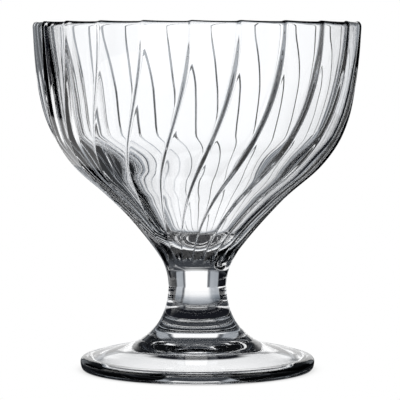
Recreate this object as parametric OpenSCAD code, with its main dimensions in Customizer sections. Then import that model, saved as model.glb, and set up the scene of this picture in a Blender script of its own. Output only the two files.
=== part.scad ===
// Footed coupe for ice cream and parfaits in clear pressed glass.
// A wide bowl with swirled flutes stands on a short solid stem and a round foot.
// Lengths are millimetres and angles are degrees. The glass stands on z = 0, with its axis on Z.
// The three sections meet face to face on flat discs, as the hot glass was joined.

/* [Whole glass] */
// Height of the glass from the table to the top of the rim
total_h = 106; // [100:0.5:114]
// Outside diameter of the rim
rim_d = 100; // [92:0.5:108]

/* [Bowl] */
// Thickness of the glass at the rim
rim_wall = 2.4; // [1.8:0.1:3.2]
// Height of the plain rounded rim above the flutes
rim_band_h = 1.8; // [1.4:0.1:4]
// Thickness of the wall where the upright belly begins
belly_wall = 3.8; // [3:0.1:5]
// Thickness of the wall of the cone under the belly, measured level
cone_wall = 7.6; // [5:0.1:8]
// Height of the top of the thick cone wall
cone_top_h = 58; // [52:0.1:62]
// Height where the wall has thinned to that of the belly
belly_h = 73; // [66:0.1:80]
// Height of the lowest point of the inside above the table
well_h = 39.8; // [36:0.1:44]
// Height of the rounded corner round the floor of the inside
well_round_h = 5.5; // [1:0.1:7]
// Number of flutes round the bowl
flutes = 22; // [16:1:26]
// Angle from +X round to the crest of the first flute, at the rim
flute_start = 6.4; // [0:0.1:16]
// Height of the step from one flute up to the next, at the rim
flute_step = 1.2; // [0.4:0.05:1.4]
// Width of the sloped face of that step, at the rim
step_w = 1.5; // [0.5:0.1:2.4]
// Height over which the flutes get shallower under the rim
flute_top_fade = 18; // [4:0.5:30]
// Height over which the flutes run out above the stem
flute_low_fade = 5; // [4:0.5:16]
// How many times as deep the flutes are for their width at the low end of the cone as at the rim
flute_low_gain = 1.4; // [0.8:0.05:1.6]
// Turn of a flute from the rim down to the stem
swirl = 40; // [0:1:60]

/* [Stem] */
// Diameter of the waist, the thinnest part of the stem
waist_d = 17.6; // [14:0.1:20]
// Height of the waist above the table
waist_h = 25.5; // [22:0.1:28]
// Height of the flat disc where the stem meets the bowl
bowl_joint_h = 32; // [30:0.1:34]
// Height of the flat disc where the stem meets the foot
foot_joint_h = 9; // [8:0.1:11]
// Diameter of the disc where the stem meets the foot
foot_joint_d = 34.4; // [30:0.1:38]

/* [Foot] */
// Outside diameter of the foot
foot_d = 71.6; // [66:0.1:78]
// Height of the widest line of the foot
foot_edge_h = 2.4; // [1.6:0.1:3]
// Height of the top of the rounded edge of the foot
foot_brim_h = 4.1; // [3.6:0.1:6]
// How far the rounded edge reaches in over the top of the foot
foot_edge_round = 2.4; // [1:0.1:4]
// How far the rounded edge reaches in under the foot
foot_under_round = 1.1; // [0.4:0.1:2]
// Width of the flat ring that the glass stands on
stand_ring_w = 3.2; // [1.5:0.1:6]
// Depth of the hollow under the foot
hollow_h = 6.5; // [4:0.1:7]

/* [Hidden] */

// Room above the rim that the cut for the inside runs on
cut_over = 5;
// Width of the flat left on the top of the rim, as a share of the rim's thickness
rim_flat_share = 0.16;
// Share of the flutes' depth that is left where the rim begins
flute_rim_share = 0.4;
// Points along one flute, as shares of its width from its crest, and rings up the bowl
flute_point_shares = [0, 0.24, 0.48, 0.72];
bowl_rings = 30;
rim_rings = 4;
inside_steps = 48;
outline_steps = 3;
round_steps = 8;
hollow_steps = 14;
full_turn = 360;
quarter_turn = 90;
round_fn = 180;

// Outside of the bowl over the waist: share of the height from waist to rim band, then share of the
// radius from waist to rim. The belly turns in over a cone and runs out in the waist.
bowl_outline_shares = [
    [0, 0], [0.045, 0.012], [0.083, 0.035], [0.128, 0.083], [0.175, 0.149], [0.268, 0.301],
    [0.362, 0.481], [0.456, 0.686], [0.548, 0.822], [0.64, 0.903], [0.742, 0.953],
    [0.87, 0.984], [1, 1]
];
// Outside of the stem under the waist: share of the height from foot joint to waist, then share of
// the radius from waist to foot joint
stem_outline_shares = [
    [0, 1], [0.05, 0.867], [0.2, 0.554], [0.35, 0.337], [0.5, 0.193], [0.65, 0.096],
    [0.8, 0.036], [1, 0]
];
// Top of the foot: share of the radius from stem joint to rounded edge, then share of the height
// from the edge to the joint
foot_outline_shares = [
    [0, 1], [0.135, 0.77], [0.3, 0.59], [0.485, 0.43], [0.67, 0.295], [0.85, 0.16], [1, 0]
];
rim_r = rim_d / 2;
waist_r = waist_d / 2;
foot_r = foot_d / 2;
foot_joint_r = foot_joint_d / 2;
band_h = total_h - rim_band_h;
inside_r = rim_r - rim_wall;
pitch = full_turn / flutes;
// Share of a flute's width that its step takes
step_share = step_w * flutes / (PI * rim_d);
flute_shares = concat(
    [for (s = flute_point_shares) s * (1 - step_share)], [1 - step_share]
);

// Slope at point i of a list of [x, y] points, from the points on both sides
function slope(p, i) =
    i == 0 ? (p[1][1] - p[0][1]) / (p[1][0] - p[0][0]) :
    i == len(p) - 1 ? (p[i][1] - p[i - 1][1]) / (p[i][0] - p[i - 1][0]) :
    let (a = p[i][0] - p[i - 1][0], b = p[i + 1][0] - p[i][0])
    ((p[i + 1][1] - p[i][1]) / b * a + (p[i][1] - p[i - 1][1]) / a * b) / (a + b);

// Smooth curve through the points, as y at x: a cubic between neighbours with the slopes above
function smooth_at(p, x, i = 0) =
    i < len(p) - 2 && x > p[i + 1][0] ? smooth_at(p, x, i + 1) :
    let (h = p[i + 1][0] - p[i][0], t = (x - p[i][0]) / h)
    (2 * t ^ 3 - 3 * t ^ 2 + 1) * p[i][1] + (t ^ 3 - 2 * t ^ 2 + t) * h * slope(p, i)
    + (3 * t ^ 2 - 2 * t ^ 3) * p[i + 1][1] + (t ^ 3 - t ^ 2) * h * slope(p, i + 1);

// Points of that curve, with n steps between neighbours
function smooth_curve(p, n) = [
    for (i = [0 : len(p) - 2], k = [0 : n - 1])
        let (x = p[i][0] + (p[i + 1][0] - p[i][0]) * k / n) [x, smooth_at(p, x)],
    p[len(p) - 1]
];

// Rises from 0 to 1 as x goes from 0 to 1, with level ends
function ease(x) = let (t = min(max(x, 0), 1)) t * t * (3 - 2 * t);

// Outside radius of the bowl over the crests of its flutes, at height z
function crest_r(z) =
    waist_r + (rim_r - waist_r) * smooth_at(bowl_outline_shares, (z - waist_h) / (band_h - waist_h));

// Level thickness of the wall at height z: it thins from the cone to the belly and on to the rim
function wall_at(z) =
    rim_wall
    + (belly_wall - rim_wall) * (1 - ease((z - belly_h) / (band_h - belly_h)))
    + (cone_wall - belly_wall) * (1 - ease((z - cone_top_h) / (belly_h - cone_top_h)));

// Radius of the inside at height z, drawn in to a point at its floor by an elliptical corner
function inside_radius(z) =
    let (x = min(max((z - well_h) / well_round_h, 0), 1))
    (crest_r(z) - wall_at(z)) * sqrt(x * (2 - x));

// How deep the flutes are for their width at height z, as a share of that at the rim
function flute_amount(z) =
    (flute_rim_share + (1 - flute_rim_share) * ease((band_h - z) / flute_top_fade))
    * (flute_low_gain + (1 - flute_low_gain) * ease((z - well_h) / (belly_h - well_h)))
    * ease((z - bowl_joint_h) / flute_low_fade);

// How far the flutes have turned at height z, more and more quickly going down
function flute_turn(z) = swirl * ((band_h - z) / (band_h - bowl_joint_h)) ^ 2;

// Radius of a flute at share s of its width, for a crest of radius 1: a straight line, seen from
// above, from the crest to the foot of the next step
function flute_radius(s) =
    let (
        low = 1 - flute_step / rim_r, a = pitch * (1 - step_share), g = s * pitch,
        x = low * cos(a) - 1, y = low * sin(a)
    )
    y / (y * cos(g) - x * sin(g));

// One ring of points round the bowl, of crest radius r at height z
function bowl_ring(r, z, amount, turn) = [
    for (k = [0 : flutes - 1], s = flute_shares)
        let (f = 1 + (flute_radius(s) - 1) * amount, a = flute_start + (k + s) * pitch - turn)
        [r * f * cos(a), r * f * sin(a), z]
];

// Heights of the rings up the outside
ring_heights = [
    for (i = [0 : bowl_rings]) bowl_joint_h + (band_h - bowl_joint_h) * i / bowl_rings
];

// Outside half of the rim, a quarter of an ellipse up to the flat top
rim_round_w = rim_wall * (1 - rim_flat_share) / 2;
rim_curve = [
    for (i = [1 : rim_rings])
        let (a = quarter_turn * i / rim_rings)
        [rim_r - rim_round_w * (1 - cos(a)), band_h + rim_band_h * sin(a), flute_rim_share * cos(a)]
];

// Solid of the whole outside: rings from the flat underside to the flat top, joined by triangles
module bowl_outside() {
    rings = concat(
        [for (z = ring_heights) bowl_ring(crest_r(z), z, flute_amount(z), flute_turn(z))],
        [for (p = rim_curve) bowl_ring(p[0], p[1], p[2], 0)]
    );
    n = flutes * len(flute_shares);
    last = len(rings) - 1;
    points = [for (ring = rings, p = ring) p];
    sides = [
        for (i = [0 : last - 1], j = [0 : n - 1])
            let (a = i * n + j, b = i * n + (j + 1) % n, c = b + n, d = a + n)
            each [[a, d, b], [b, d, c]]
    ];
    underside = [for (j = [0 : n - 1]) j];
    top = [for (j = [n - 1 : -1 : 0]) last * n + j];
    polyhedron(points = points, faces = concat(sides, [underside], [top]));
}

// Room inside the bowl, turned from its outline, with the inner half of the rim
module bowl_inside() {
    wall = [
        for (i = [0 : inside_steps])
            let (z = well_h + (band_h - well_h) * (i / inside_steps) ^ 2)
            [inside_radius(z), z]
    ];
    lip = [
        for (i = [1 : rim_rings])
            let (a = quarter_turn * i / rim_rings)
            [inside_r + rim_round_w * (1 - cos(a)), band_h + rim_band_h * sin(a)]
    ];
    rotate_extrude($fn = round_fn)
        polygon(concat(
            wall,
            lip,
            [[inside_r + rim_round_w, total_h + cut_over], [0, total_h + cut_over]]
        ));
}

// Fluted cup with its solid bottom
module bowl() {
    color([0.88, 0.92, 0.93, 0.5])
        difference() {
            bowl_outside();
            bowl_inside();
        }
}

// Solid waisted stem between the two joint discs
module stem() {
    low = [
        for (p = smooth_curve(stem_outline_shares, outline_steps))
            [waist_r + (foot_joint_r - waist_r) * p[1], foot_joint_h + (waist_h - foot_joint_h) * p[0]]
    ];
    high_n = round_steps;
    high = [
        for (i = [1 : high_n])
            let (z = waist_h + (bowl_joint_h - waist_h) * i / high_n)
            [crest_r(z), z]
    ];
    color([0.84, 0.89, 0.9, 0.5])
        rotate_extrude($fn = round_fn)
            polygon(concat([[0, foot_joint_h]], low, high, [[0, bowl_joint_h]]));
}

// Round foot: coned top, rounded edge, flat standing ring and hollow underside
module foot() {
    brim_r = foot_r - foot_edge_round;
    ring_out_r = foot_r - foot_under_round;
    ring_in_r = ring_out_r - stand_ring_w;
    top = [
        for (p = smooth_curve(foot_outline_shares, outline_steps))
            [foot_joint_r + (brim_r - foot_joint_r) * p[0],
             foot_brim_h + (foot_joint_h - foot_brim_h) * p[1]]
    ];
    edge_over = [
        for (i = [1 : round_steps])
            let (a = quarter_turn * i / round_steps)
            [brim_r + foot_edge_round * sin(a), foot_edge_h + (foot_brim_h - foot_edge_h) * cos(a)]
    ];
    edge_under = [
        for (i = [1 : round_steps])
            let (a = quarter_turn * i / round_steps)
            [ring_out_r + foot_under_round * cos(a), foot_edge_h * (1 - sin(a))]
    ];
    hollow = [
        for (i = [0 : hollow_steps])
            let (s = 1 - i / hollow_steps)
            [ring_in_r * s, hollow_h * (1 - s ^ 2)]
    ];
    color([0.86, 0.9, 0.92, 0.5])
        rotate_extrude($fn = round_fn)
            polygon(concat([[0, foot_joint_h]], top, edge_over, edge_under, hollow));
}

bowl();
stem();
foot();
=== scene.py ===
import math

import bpy
import numpy as np
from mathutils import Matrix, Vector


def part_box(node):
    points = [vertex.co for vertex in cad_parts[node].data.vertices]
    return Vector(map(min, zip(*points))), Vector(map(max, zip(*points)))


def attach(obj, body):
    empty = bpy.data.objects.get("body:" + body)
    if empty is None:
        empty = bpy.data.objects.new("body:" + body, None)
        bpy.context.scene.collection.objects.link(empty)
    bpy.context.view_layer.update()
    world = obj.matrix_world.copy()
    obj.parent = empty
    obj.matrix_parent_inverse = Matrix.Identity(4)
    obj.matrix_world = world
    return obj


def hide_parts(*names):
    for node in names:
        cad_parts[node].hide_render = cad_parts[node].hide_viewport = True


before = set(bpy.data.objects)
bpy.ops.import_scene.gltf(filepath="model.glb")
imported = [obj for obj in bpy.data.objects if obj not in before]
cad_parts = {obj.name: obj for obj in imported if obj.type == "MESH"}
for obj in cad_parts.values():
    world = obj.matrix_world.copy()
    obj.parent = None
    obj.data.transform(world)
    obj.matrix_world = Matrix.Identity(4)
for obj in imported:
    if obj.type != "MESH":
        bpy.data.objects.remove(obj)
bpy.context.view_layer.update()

# ---------------------------------------------------------------- driving sizes, in metres
MM = 0.001
bowl_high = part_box("bowl")[1]
stem_low, stem_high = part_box("stem")
foot_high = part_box("foot")[1]
TOTAL_H = bowl_high[2]
BOWL_JOINT_H = stem_high[2]
FOOT_JOINT_H = stem_low[2]
RIM_R = 50.0 * MM
FOOT_R = foot_high[0]
FOOT_JOINT_R = stem_high[0]
WAIST_R = 8.8 * MM
WAIST_H = 25.5 * MM

RIM_WALL = 2.4 * MM
RIM_BAND = 1.8 * MM
RIM_DIP = 0.3 * MM
BELLY_WALL = 3.8 * MM
CONE_WALL = 7.6 * MM
CONE_TOP_H = 58.0 * MM
BELLY_H = 73.0 * MM
WELL_H = 39.8 * MM
WELL_ROUND_H = 5.5 * MM

FLUTES = 22
FLUTE_START = math.radians(6.4)
FLUTE_STEP = 1.2 * MM
STEP_W = 1.5 * MM
MOULD_ROUND = 0.25 * MM
SWIRL = math.radians(40.0)
RIM_FLUTE_SHARE = 0.4
TOP_FADE = 18.0 * MM
LOW_FADE = 5.0 * MM
LOW_GAIN = 1.4

FOOT_EDGE_H = 2.4 * MM
FOOT_BRIM_H = 4.1 * MM
FOOT_EDGE_ROUND = 2.4 * MM
FOOT_UNDER_ROUND = 1.1 * MM
STAND_RING_W = 3.2 * MM
HOLLOW_H = 6.5 * MM

# Each section's face stands this far back from the joint, so that a ray meets one after the other
JOINT_GAP = 0.01 * MM
# Narrow ring of the side wall next to a joint face, which keeps the wall's shading even up to it
JOINT_RING = 0.04 * MM

# Rows of the bowl: closer ones in its lowest part and next under the rim, then over the rim, down the
# inside and round the corner of its floor
LOW_ROWS_H = 14.0 * MM
LOW_ROWS = 21
BELLY_ROWS = 56
TOP_ROWS_H = 5.0 * MM
TOP_ROWS = 16
RIM_ROWS = 20
INSIDE_ROWS = 58
CORNER_ROWS = 18
# Rows of the stem up to its waist and over it, and of the foot from its hollow to its joint face
FLARE_ROWS = 59
NECK_ROWS = 29
HOLLOW_ROWS = 40
UNDER_ROWS = 12
EDGE_ROWS = 16
CONE_ROWS = 59
# Innermost row of the hollow, as a share of its radius
HOLLOW_START = 0.03
# Rings drawn on the joint faces, as shares of the face's radius: under the bowl, and on the others
BOWL_DISC_RINGS = [0.35, 0.7]
DISC_RING = 0.4
# Columns across one flute, as shares of its width from one crest to the next, closest at the step
FLUTE_COLS = np.array([
    0, 0.012, 0.03, 0.06, 0.13, 0.26, 0.42, 0.58, 0.72, 0.81,
    0.855, 0.88, 0.895, 0.91, 0.925, 0.94, 0.955, 0.97, 0.982, 0.991,
])
# Points across one flute at which its rounded section is worked out, and columns round a turned piece
SECTION_STEPS = 4000
TURNED_COLS = 256

BAND_H = TOTAL_H - RIM_BAND
PITCH = 2 * math.pi / FLUTES

# Outlines, as shares of height and radius: the bowl's from the waist to the rim, the stem's from its
# joint with the foot to the waist, and the foot's from its joint with the stem out to the brim, as
# shares of radius and height
BOWL_OUTLINE = np.array([
    [0, 0], [0.045, 0.012], [0.083, 0.035], [0.128, 0.083], [0.175, 0.149], [0.268, 0.301],
    [0.362, 0.481], [0.456, 0.686], [0.548, 0.822], [0.64, 0.903], [0.742, 0.953],
    [0.87, 0.984], [1, 1],
])
STEM_OUTLINE = np.array([
    [0, 1], [0.05, 0.867], [0.2, 0.554], [0.35, 0.337], [0.5, 0.193], [0.65, 0.096],
    [0.8, 0.036], [1, 0],
])
FOOT_OUTLINE = np.array([
    [0, 1], [0.135, 0.77], [0.3, 0.59], [0.485, 0.43], [0.67, 0.295], [0.85, 0.16], [1, 0],
])


# ---------------------------------------------------------------- curves
def ease(x):
    """Rises from 0 to 1 with level ends: 3 t squared less 2 t cubed, t being x kept from 0 to 1."""
    t = np.clip(x, 0.0, 1.0)
    return t * t * (3 - 2 * t)


def smooth_curve(knots, x):
    """Cubic between neighbouring knots, with the slope at each knot weighted from both sides."""
    kx, ky = knots[:, 0], knots[:, 1]
    slope = np.gradient(ky, kx)
    x = np.clip(x, kx[0], kx[-1])
    i = np.clip(np.searchsorted(kx, x) - 1, 0, len(kx) - 2)
    h = kx[i + 1] - kx[i]
    t = (x - kx[i]) / h
    return ((2 * t**3 - 3 * t**2 + 1) * ky[i] + (t**3 - 2 * t**2 + t) * h * slope[i]
            + (3 * t**2 - 2 * t**3) * ky[i + 1] + (t**3 - t**2) * h * slope[i + 1])


def crest_radius(z):
    """Outside radius over the crests of the flutes at height z: the waist's, and the bowl outline's
    share of what the rim's has more."""
    return WAIST_R + (RIM_R - WAIST_R) * smooth_curve(BOWL_OUTLINE, (z - WAIST_H) / (BAND_H - WAIST_H))


def wall_thickness(z):
    """Level thickness of the wall: the rim's, and eased increases down to the belly and to the cone."""
    return (RIM_WALL + (BELLY_WALL - RIM_WALL) * (1 - ease((z - BELLY_H) / (BAND_H - BELLY_H)))
            + (CONE_WALL - BELLY_WALL) * (1 - ease((z - CONE_TOP_H) / (BELLY_H - CONE_TOP_H))))


def inside_radius(z):
    """Outside less the wall, drawn in at the floor by the quarter of an ellipse."""
    x = np.clip((z - WELL_H) / WELL_ROUND_H, 0.0, 1.0)
    return (crest_radius(z) - wall_thickness(z)) * np.sqrt(x * (2 - x))


def flute_depth(z):
    """Depth of the flutes for their width, three eased shares multiplied: shallow at the rim and full
    under it, deeper down the cone, and run out at the stem."""
    return ((RIM_FLUTE_SHARE + (1 - RIM_FLUTE_SHARE) * ease((BAND_H - z) / TOP_FADE))
            * (LOW_GAIN + (1 - LOW_GAIN) * ease((z - WELL_H) / (BELLY_H - WELL_H)))
            * ease((z - BOWL_JOINT_H) / LOW_FADE))


def flute_turn(z):
    """How far the flutes have swirled: the whole swirl by the square of the way down from the rim."""
    return SWIRL * ((BAND_H - z) / (BAND_H - BOWL_JOINT_H))**2


def flute_section(u):
    """Radius of the fluted section over its crest radius, u counted in flutes from a crest: a straight
    line to the foot of the step, an eased step up, all rounded by a bell curve as wide as the mould's
    polished edges."""
    step_share = STEP_W / (PITCH * RIM_R)
    low = 1 - FLUTE_STEP / RIM_R
    t = np.arange(SECTION_STEPS) / SECTION_STEPS
    a = PITCH * (1 - step_share)
    x, y = low * math.cos(a) - 1, low * math.sin(a)
    g = np.minimum(t, 1 - step_share) * PITCH
    r = y / (y * np.cos(g) - x * np.sin(g))
    r = np.where(t > 1 - step_share, low + (1 - low) * ease((t - 1 + step_share) / step_share), r)
    width = MOULD_ROUND / (PITCH * RIM_R) * SECTION_STEPS
    offset = np.minimum(np.arange(SECTION_STEPS), SECTION_STEPS - np.arange(SECTION_STEPS))
    bell = np.exp(-0.5 * (offset / width)**2)
    r = np.real(np.fft.ifft(np.fft.fft(r) * np.fft.fft(bell / bell.sum())))
    return np.interp(np.mod(u, 1.0), np.append(t, 1.0), np.append(r, r[0]))


# ---------------------------------------------------------------- meshes
def closed_mesh(name, x, y, z, start_pole, end_pole, joint_rows):
    """A closed skin from a grid of rows by columns, the columns running round the axis: quads between
    neighbours and a fan to a pole on the axis at each end. joint_rows lists the rows whose faces lie in
    a flat disc where two hot pieces were joined; those take the second material slot."""
    rows, cols = x.shape
    points = np.stack([x, y, z], -1).reshape(-1, 3)
    points = np.concatenate([points, [[0, 0, start_pole], [0, 0, end_pole]]])
    i = np.arange(rows - 1)[:, None]
    j = np.arange(cols)[None, :]
    k = (j + 1) % cols
    quads = np.stack([i * cols + j, i * cols + k, (i + 1) * cols + k, (i + 1) * cols + j], -1).reshape(-1, 4)
    j, k = j[0], k[0]
    first = np.stack([k, j, np.full(cols, rows * cols)], -1)
    last = np.stack([(rows - 1) * cols + j, (rows - 1) * cols + k, np.full(cols, rows * cols + 1)], -1)
    mesh = bpy.data.meshes.new(name)
    mesh.from_pydata(points.tolist(), [], quads.tolist() + first.tolist() + last.tolist())
    row_of_face = np.concatenate([
        np.repeat(np.arange(rows - 1), cols), np.full(cols, -1), np.full(cols, rows - 1)])
    mesh.polygons.foreach_set("material_index", np.isin(row_of_face, joint_rows).astype(np.int32))
    mesh.polygons.foreach_set("use_smooth", np.isin(row_of_face, joint_rows, invert=True))
    mesh.update()
    piece = bpy.data.objects.new(name, mesh)
    bpy.context.scene.collection.objects.link(piece)
    return piece


def fluted_bowl():
    """The cup. Its skin is a function of u, counted in flutes round the bowl, and of the way along one
    profile: out under the joint, up the fluted outside, over the rim by half an ellipse, which dips
    with the flutes, and down the inside. A column keeps its u on every row, so it follows the swirl
    of the flutes and the steps stay crisp."""
    u = (np.arange(FLUTES)[:, None] + FLUTE_COLS[None, :]).ravel()[None, :]
    section = flute_section(u)

    low = BOWL_JOINT_H + JOINT_GAP
    up = np.concatenate([
        [low],
        np.linspace(low + JOINT_RING, BOWL_JOINT_H + LOW_ROWS_H, LOW_ROWS)[:-1],
        np.linspace(BOWL_JOINT_H + LOW_ROWS_H, BAND_H - TOP_ROWS_H, BELLY_ROWS)[:-1],
        np.linspace(BAND_H - TOP_ROWS_H, BAND_H, TOP_ROWS),
    ])
    out_r = crest_radius(up)[:, None] * (1 + (section - 1) * flute_depth(up)[:, None])
    out_z = np.repeat(up[:, None], u.size, 1)
    out_turn = flute_turn(up)[:, None]

    a = np.linspace(0, math.pi, RIM_ROWS)[1:-1][:, None]
    half = RIM_WALL / 2
    fade = RIM_FLUTE_SHARE * np.clip(np.cos(a), 0, 1)
    dip = RIM_DIP * (1 - section) / (FLUTE_STEP / RIM_R)
    rim_r = (RIM_R - half + half * np.cos(a)) * (1 + (section - 1) * fade)
    rim_z = BAND_H + (RIM_BAND - dip) * np.sin(a)

    down = np.linspace(BAND_H, WELL_H + WELL_ROUND_H, INSIDE_ROWS)[:-1]
    corner = WELL_H + WELL_ROUND_H * (1 - np.cos(np.linspace(math.pi / 2, 0, CORNER_ROWS)[:-1]))
    down = np.concatenate([down, corner])
    in_r = np.repeat(inside_radius(down)[:, None], u.size, 1)
    in_z = np.repeat(down[:, None], u.size, 1)

    disc = np.array(BOWL_DISC_RINGS)[:, None]
    disc_r = disc * out_r[:1]
    disc_z = np.full(disc_r.shape, low)
    disc_turn = np.full(disc.shape, flute_turn(low))

    r = np.concatenate([disc_r, out_r, rim_r, in_r])
    z = np.concatenate([disc_z, out_z, rim_z, in_z])
    turn = np.concatenate([disc_turn, out_turn, np.zeros((len(rim_r) + len(in_r), 1))])
    angle = FLUTE_START + u * PITCH - turn
    return closed_mesh("pressed_bowl", r * np.cos(angle), r * np.sin(angle), z,
                       low, WELL_H, [-1, 0, 1])


def turned(name, radius, height, start_pole, end_pole, joint_rows):
    """A piece turned about the axis: its profile of radius and height carried round the full circle."""
    angle = np.arange(TURNED_COLS)[None, :] * (2 * math.pi / TURNED_COLS)
    r = np.asarray(radius)[:, None]
    z = np.repeat(np.asarray(height)[:, None], TURNED_COLS, 1)
    return closed_mesh(name, r * np.cos(angle), r * np.sin(angle), z, start_pole, end_pole, joint_rows)


def waisted_stem():
    """Solid stem: flat joint disc, then the waist's radius and the stem outline's share of what the
    joint's has more, then the low end of the bowl's own outline, and the upper joint disc."""
    low, high = FOOT_JOINT_H + JOINT_GAP, BOWL_JOINT_H - JOINT_GAP
    low_z = np.append(low, np.linspace(low + JOINT_RING, WAIST_H, FLARE_ROWS))
    low_r = WAIST_R + (FOOT_JOINT_R - WAIST_R) * smooth_curve(
        STEM_OUTLINE, (low_z - FOOT_JOINT_H) / (WAIST_H - FOOT_JOINT_H))
    high_z = np.append(np.linspace(WAIST_H, high - JOINT_RING, NECK_ROWS)[1:], high)
    high_r = crest_radius(high_z)
    radius = np.concatenate([[DISC_RING * low_r[0]], low_r, high_r, [DISC_RING * high_r[-1]]])
    height = np.concatenate([[low], low_z, high_z, [high]])
    n = len(radius)
    return turned("waisted_stem", radius, height, low, high, [-1, 0, n - 2, n - 1])


def coned_foot():
    """Foot: hollow underside, whose depth falls with the square of the radius, flat standing ring, edge
    rounded by a quarter of an ellipse below and one above, coned top by its outline, and joint disc."""
    ring_out = FOOT_R - FOOT_UNDER_ROUND
    ring_in = ring_out - STAND_RING_W
    brim_r = FOOT_R - FOOT_EDGE_ROUND
    s = np.linspace(HOLLOW_START, 1, HOLLOW_ROWS)
    hollow_r, hollow_z = ring_in * s, HOLLOW_H * (1 - s**2)
    a = np.linspace(math.pi / 2, 0, UNDER_ROWS)
    under_r = ring_out + FOOT_UNDER_ROUND * np.cos(a)
    under_z = FOOT_EDGE_H * (1 - np.sin(a))
    a = np.linspace(math.pi / 2, 0, EDGE_ROWS)[1:]
    edge_r = brim_r + FOOT_EDGE_ROUND * np.sin(a)
    edge_z = FOOT_EDGE_H + (FOOT_BRIM_H - FOOT_EDGE_H) * np.cos(a)
    high = FOOT_JOINT_H - JOINT_GAP
    s = np.append(np.linspace(1, JOINT_RING / (brim_r - FOOT_JOINT_R), CONE_ROWS)[1:], 0)
    top_r = FOOT_JOINT_R + (brim_r - FOOT_JOINT_R) * s
    top_z = np.minimum(FOOT_BRIM_H + (FOOT_JOINT_H - FOOT_BRIM_H) * smooth_curve(FOOT_OUTLINE, s), high)
    radius = np.concatenate([hollow_r, under_r, edge_r, top_r, [DISC_RING * FOOT_JOINT_R]])
    height = np.concatenate([hollow_z, under_z, edge_z, top_z, [high]])
    n = len(radius)
    return turned("coned_foot", radius, height, HOLLOW_H, high, [n - 2, n - 1])


# ---------------------------------------------------------------- materials
WHITE = (1, 1, 1, 1)
GLASS_TINT = (0.984, 0.99, 1, 1)
GLASS_IOR = 1.52
AIR_IOR = 1.0
# Waviness of the polished surface: waves in a metre, how fine it goes, how strongly it shows, and
# its height
WAVE_SCALE = 90.0
WAVE_DETAIL = 1.0
WAVE_STRENGTH = 0.2
WAVE_H = 0.25 * MM


def add(tree, kind, **settings):
    """A new node of one kind, with its settings."""
    node = tree.nodes.new(kind)
    for key, value in settings.items():
        setattr(node, key, value)
    return node


def clear_pressed_glass():
    """Clear soda-lime glass, fire polished: a slow faint waviness from noise, no roughness."""
    mat = bpy.data.materials.new("clear_pressed_glass")
    mat.use_nodes = True
    t = mat.node_tree
    glass = t.nodes["Principled BSDF"]
    glass.inputs["Base Color"].default_value = GLASS_TINT
    glass.inputs["Roughness"].default_value = 0.0
    glass.inputs["IOR"].default_value = GLASS_IOR
    glass.inputs["Transmission Weight"].default_value = 1.0
    where = add(t, "ShaderNodeTexCoord")
    wave = add(t, "ShaderNodeTexNoise")
    wave.inputs["Scale"].default_value = WAVE_SCALE
    wave.inputs["Detail"].default_value = WAVE_DETAIL
    bump = add(t, "ShaderNodeBump")
    bump.inputs["Strength"].default_value = WAVE_STRENGTH
    bump.inputs["Distance"].default_value = WAVE_H
    t.links.new(where.outputs["Object"], wave.inputs["Vector"])
    t.links.new(wave.outputs["Fac"], bump.inputs["Height"])
    t.links.new(bump.outputs["Normal"], glass.inputs["Normal"])
    return mat


def joined_hot():
    """The face where two hot sections became one glass: nothing bends light there."""
    mat = bpy.data.materials.new("joined_hot")
    mat.use_nodes = True
    face = mat.node_tree.nodes["Principled BSDF"]
    face.inputs["Base Color"].default_value = WHITE
    face.inputs["Roughness"].default_value = 0.0
    face.inputs["IOR"].default_value = AIR_IOR
    face.inputs["Transmission Weight"].default_value = 1.0
    return mat


# ---------------------------------------------------------------- the glass
glass = clear_pressed_glass()
joint = joined_hot()
for piece, node in ((fluted_bowl(), "bowl"), (waisted_stem(), "stem"), (coned_foot(), "foot")):
    piece.data.materials.append(glass)
    piece.data.materials.append(joint)
    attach(piece, "root")
    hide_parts(node)


# ---------------------------------------------------------------- the studio
# Light round the glass low over the table, by direction: degrees from straight behind it, to the
# right, and brightness
LOW_ROUND = [
    [-180, 1.1], [-152, 1.1], [-148, 0.006], [-126, 0.006], [-120, 1.1], [-76, 1.1], [-70, 0.006],
    [-35, 0.006], [-32.5, 0.4], [-17.8, 0.4], [-16.6, 0.1], [-14.2, 0.1], [-13.4, 1.1],
    [16.4, 1.1], [17.2, 0.1], [19.6, 0.1], [20.8, 0.4], [32.5, 0.4], [35, 0.006], [106, 0.006],
    [116, 1.1], [180, 1.1],
]
# Brightness high up, all round
HIGH_LIGHT = 0.05
# Where one goes over into the other: degrees over the table, and the share of the high light
CLIMB = [[-90, 0], [17, 0], [21, 0.7], [25, 1], [90, 1]]
# The table as the glass shows it, with the foot's shadow painted round it: dark just outside the foot's
# edge, then painted shade fading to white by 110 mm. Metres from the middle of the foot, and brightness
TABLE_OUT_WITH_SHADOW = [[0, 1.1], [0.029, 1.1], [0.031, 0.006], [0.042, 0.04], [0.050, 0.3],
             [0.060, 0.42], [0.075, 0.64], [0.090, 0.88], [0.110, 1], [0.16, 1.1], [0.45, 1.1]]
# Dark strip behind the middle of the foot, as the stem would shade it from a light in front: metres
# out from the strip's own line, and brightness, and where that line begins and ends
SHADE_OUT = [[0, 0.006], [0.0125, 0.006], [0.0165, 1], [0.45, 1]]
SHADE_FROM = 4.0 * MM
SHADE_TO = 20.0 * MM
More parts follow.
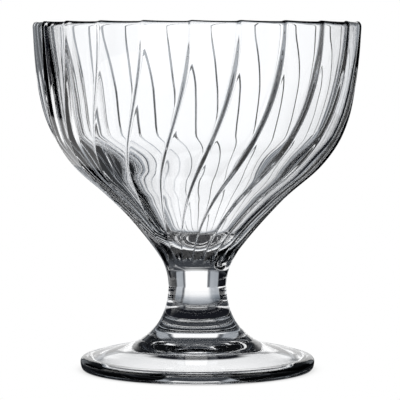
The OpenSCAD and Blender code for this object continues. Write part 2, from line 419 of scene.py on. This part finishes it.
# Black and grey cards on the table: for each, degrees round as above and how much light it leaves,
# and metres out and how far it reaches there
CARDS = [
    ([[-180, 1], [-64, 1], [-60, 0.006], [-35, 0.006], [-32.5, 1], [180, 1]],
     [[0, 0], [0.034, 0], [0.044, 1], [0.110, 1], [0.125, 0], [0.45, 0]]),
    ([[-180, 1], [-84, 1], [-80, 0.006], [-57, 0.006], [-53, 1], [-41, 1], [-37, 0.006],
      [-21, 0.006], [-17, 1], [180, 1]],
     [[0, 0], [0.26, 0], [0.28, 1], [0.45, 1]]),
    ([[-180, 1], [-34, 1], [-32.5, 0.45], [-17.8, 0.45], [-13.4, 1], [180, 1]],
     [[0, 0], [0.034, 0], [0.044, 1], [0.45, 1]]),
    ([[-180, 1], [16.4, 1], [17.2, 0.1], [19.6, 0.1], [20.8, 0.45], [32.5, 0.45],
      [35, 0.006], [108, 0.006], [118, 1], [180, 1]],
     [[0, 0], [0.034, 0], [0.044, 1], [0.45, 1]]),
]
TABLE_R = 450.0 * MM
TABLE_SIDES = 96
# How far the table lies under the standing ring
TABLE_DROP = 0.1 * MM
# Soft shadow where the foot stands on the table: its reach, its darkest level, the share of open sky
# over the table at which it has faded out, and the rays that work it out
SHADOW_REACH = 30.0 * MM
SHADOW_LEVEL = 0.55
SHADOW_OPEN = 0.8
SHADOW_RAYS = 8
# How dark light loses red and gains blue, and the blue that is left in black
RED_LOSS = 0.1
BLUE_GAIN = 0.12
BLUE_LEFT = 0.002
# Numbers of the Mix node's sockets for two colours and for its result
MIX_A, MIX_B, MIX_OUT = 6, 7, 2


def ramp(tree, source, stops, low, high, colour):
    """Colour by the value of source, which runs from low to high: straight lines between the stops,
    each of which has a value and the level that colour makes a colour of."""
    scale = add(tree, "ShaderNodeMapRange")
    scale.inputs["From Min"].default_value = low
    scale.inputs["From Max"].default_value = high
    tree.links.new(source, scale.inputs["Value"])
    node = add(tree, "ShaderNodeValToRGB")
    tree.links.new(scale.outputs["Result"], node.inputs["Fac"])
    marks = node.color_ramp.elements
    marks.remove(marks[-1])
    for k, (value, level) in enumerate(stops):
        place = (value - low) / (high - low)
        mark = marks[0] if k == 0 else marks.new(place)
        mark.position = place
        mark.color = colour(level)
    return node.outputs["Color"]


def cool_grey(level):
    """A level of light that is neutral when bright and leans to blue as it darkens."""
    dark = max(0.0, 1 - level)
    return (level * (1 - RED_LOSS * dark), level, level * (1 + BLUE_GAIN * dark) + BLUE_LEFT * dark, 1)


def plain_grey(level):
    """A level as a share, with no tint."""
    return (level, level, level, 1)


def in_radians(stops):
    """The same stops with their degrees in radians."""
    return [[math.radians(degrees), level] for degrees, level in stops]


def darkened(tree, level, shade, reach=None):
    """The level times the shade, or only as far towards that as reach says."""
    node = add(tree, "ShaderNodeMix", data_type="RGBA", blend_type="MULTIPLY")
    node.inputs["Factor"].default_value = 1.0
    if reach is not None:
        tree.links.new(reach, node.inputs["Factor"])
    tree.links.new(level, node.inputs[MIX_A])
    tree.links.new(shade, node.inputs[MIX_B])
    return node.outputs[MIX_OUT]


def way_round(tree, axes):
    """Radians round the glass, from straight behind it to the right: the arc tangent of x over y."""
    around = add(tree, "ShaderNodeMath", operation="ARCTAN2")
    tree.links.new(axes.outputs["X"], around.inputs[0])
    tree.links.new(axes.outputs["Y"], around.inputs[1])
    return around.outputs[0]


def seen(tree, by_glass):
    """The mix of what the camera sees, white unless something is linked to it, and what the glass sees."""
    ray = add(tree, "ShaderNodeLightPath")
    mix = add(tree, "ShaderNodeMix", data_type="RGBA")
    tree.links.new(ray.outputs["Is Camera Ray"], mix.inputs["Factor"])
    tree.links.new(by_glass, mix.inputs[MIX_A])
    mix.inputs[MIX_B].default_value = WHITE
    return mix


def studio_light():
    """World: white to the camera, and lit panels with dark gaps between them to the glass."""
    world = bpy.data.worlds.new("studio")
    bpy.context.scene.world = world
    world.use_nodes = True
    t = world.node_tree
    t.nodes.clear()
    where = add(t, "ShaderNodeTexCoord")
    axes = add(t, "ShaderNodeSeparateXYZ")
    t.links.new(where.outputs["Generated"], axes.inputs[0])
    over = add(t, "ShaderNodeMath", operation="ARCSINE")
    t.links.new(axes.outputs["Z"], over.inputs[0])
    low = ramp(t, way_round(t, axes), in_radians(LOW_ROUND), -math.pi, math.pi, cool_grey)
    climb = ramp(t, over.outputs[0], in_radians(CLIMB), -math.pi / 2, math.pi / 2, plain_grey)
    both = add(t, "ShaderNodeMix", data_type="RGBA")
    t.links.new(climb, both.inputs["Factor"])
    t.links.new(low, both.inputs[MIX_A])
    both.inputs[MIX_B].default_value = cool_grey(HIGH_LIGHT)
    light = add(t, "ShaderNodeBackground")
    t.links.new(seen(t, both.outputs[MIX_OUT]).outputs[MIX_OUT], light.inputs["Color"])
    out = add(t, "ShaderNodeOutputWorld")
    t.links.new(light.outputs[0], out.inputs["Surface"])


def table_paper():
    """Paper of the table: white to the camera, with the foot's soft shadow. The glass sees its level by the
    distance from the middle, with the foot's shadow painted round it, less the painted shadow of the dark
    strip and the cards that lie on it."""
    mat = bpy.data.materials.new("table_paper")
    mat.use_nodes = True
    t = mat.node_tree
    t.nodes.clear()
    where = add(t, "ShaderNodeTexCoord")
    far = add(t, "ShaderNodeVectorMath", operation="LENGTH")
    t.links.new(where.outputs["Object"], far.inputs[0])
    axes = add(t, "ShaderNodeSeparateXYZ")
    t.links.new(where.outputs["Object"], axes.inputs[0])
    along = add(t, "ShaderNodeClamp")
    along.inputs["Min"].default_value = SHADE_FROM
    along.inputs["Max"].default_value = SHADE_TO
    t.links.new(axes.outputs["Y"], along.inputs["Value"])
    line = add(t, "ShaderNodeCombineXYZ")
    t.links.new(along.outputs["Result"], line.inputs["Y"])
    off = add(t, "ShaderNodeVectorMath", operation="DISTANCE")
    t.links.new(where.outputs["Object"], off.inputs[0])
    t.links.new(line.outputs[0], off.inputs[1])
    around = way_round(t, axes)
    # Level of the table by distance from the middle, with the foot's painted shadow round it
    level = ramp(t, far.outputs["Value"], TABLE_OUT_WITH_SHADOW, 0.0, TABLE_R, cool_grey)
    shade = ramp(t, off.outputs["Value"], SHADE_OUT, 0.0, TABLE_R, cool_grey)
    level = darkened(t, level, shade)
    for round_stops, out_stops in CARDS:
        card = ramp(t, around, in_radians(round_stops), -math.pi, math.pi, cool_grey)
        reach = ramp(t, far.outputs["Value"], out_stops, 0.0, TABLE_R, plain_grey)
        level = darkened(t, level, card, reach)
    touch = add(t, "ShaderNodeAmbientOcclusion")
    touch.samples = SHADOW_RAYS
    touch.inputs["Distance"].default_value = SHADOW_REACH
    soft = add(t, "ShaderNodeMapRange")
    soft.inputs["From Max"].default_value = SHADOW_OPEN
    soft.inputs["To Min"].default_value = SHADOW_LEVEL
    t.links.new(touch.outputs["AO"], soft.inputs["Value"])
    mix = seen(t, level)
    t.links.new(soft.outputs["Result"], mix.inputs[MIX_B])
    paper = add(t, "ShaderNodeEmission")
    t.links.new(mix.outputs[MIX_OUT], paper.inputs["Color"])
    out = add(t, "ShaderNodeOutputMaterial")
    t.links.new(paper.outputs[0], out.inputs["Surface"])
    return mat


def pale_table():
    """Round pale table: a flat disc of one face, just under the standing ring."""
    angle = np.arange(TABLE_SIDES) * (2 * math.pi / TABLE_SIDES)
    rim = np.stack([TABLE_R * np.cos(angle), TABLE_R * np.sin(angle), np.full(TABLE_SIDES, -TABLE_DROP)], -1)
    mesh = bpy.data.meshes.new("pale_table")
    mesh.from_pydata(rim.tolist(), [], [list(range(TABLE_SIDES))])
    mesh.update()
    table = bpy.data.objects.new("pale_table", mesh)
    bpy.context.scene.collection.objects.link(table)
    table.data.materials.append(table_paper())


# ---------------------------------------------------------------- the camera
# How far in front of the glass and how high it stands, its tip down, the lens and sensor in
# millimetres, the share of the frame by which the picture is shifted, and the nearest and farthest
# things that it takes in
CAMERA_BACK = 700.0 * MM
CAMERA_H = 99.2 * MM
CAMERA_TIP = math.radians(3.885)
CAMERA_LENS = 206.9
CAMERA_SENSOR = 36.0
CAMERA_SHIFT = 0.0065
CAMERA_NEAR = 10.0 * MM
CAMERA_FAR = 20000.0 * MM


def photo_camera():
    """Camera at the photograph's angle: in front of the glass, a little under its rim, tipped down."""
    data = bpy.data.cameras.new("camera")
    camera = bpy.data.objects.new("camera", data)
    bpy.context.scene.collection.objects.link(camera)
    data.sensor_width = CAMERA_SENSOR
    data.lens = CAMERA_LENS
    data.clip_start = CAMERA_NEAR
    data.clip_end = CAMERA_FAR
    data.shift_x = CAMERA_SHIFT
    camera.location = (0.0, -CAMERA_BACK, CAMERA_H)
    camera.rotation_euler = (math.pi / 2 - CAMERA_TIP, 0.0, 0.0)
    bpy.context.scene.camera = camera


studio_light()
pale_table()
photo_camera()
bpy.context.scene.view_settings.view_transform = "Standard"
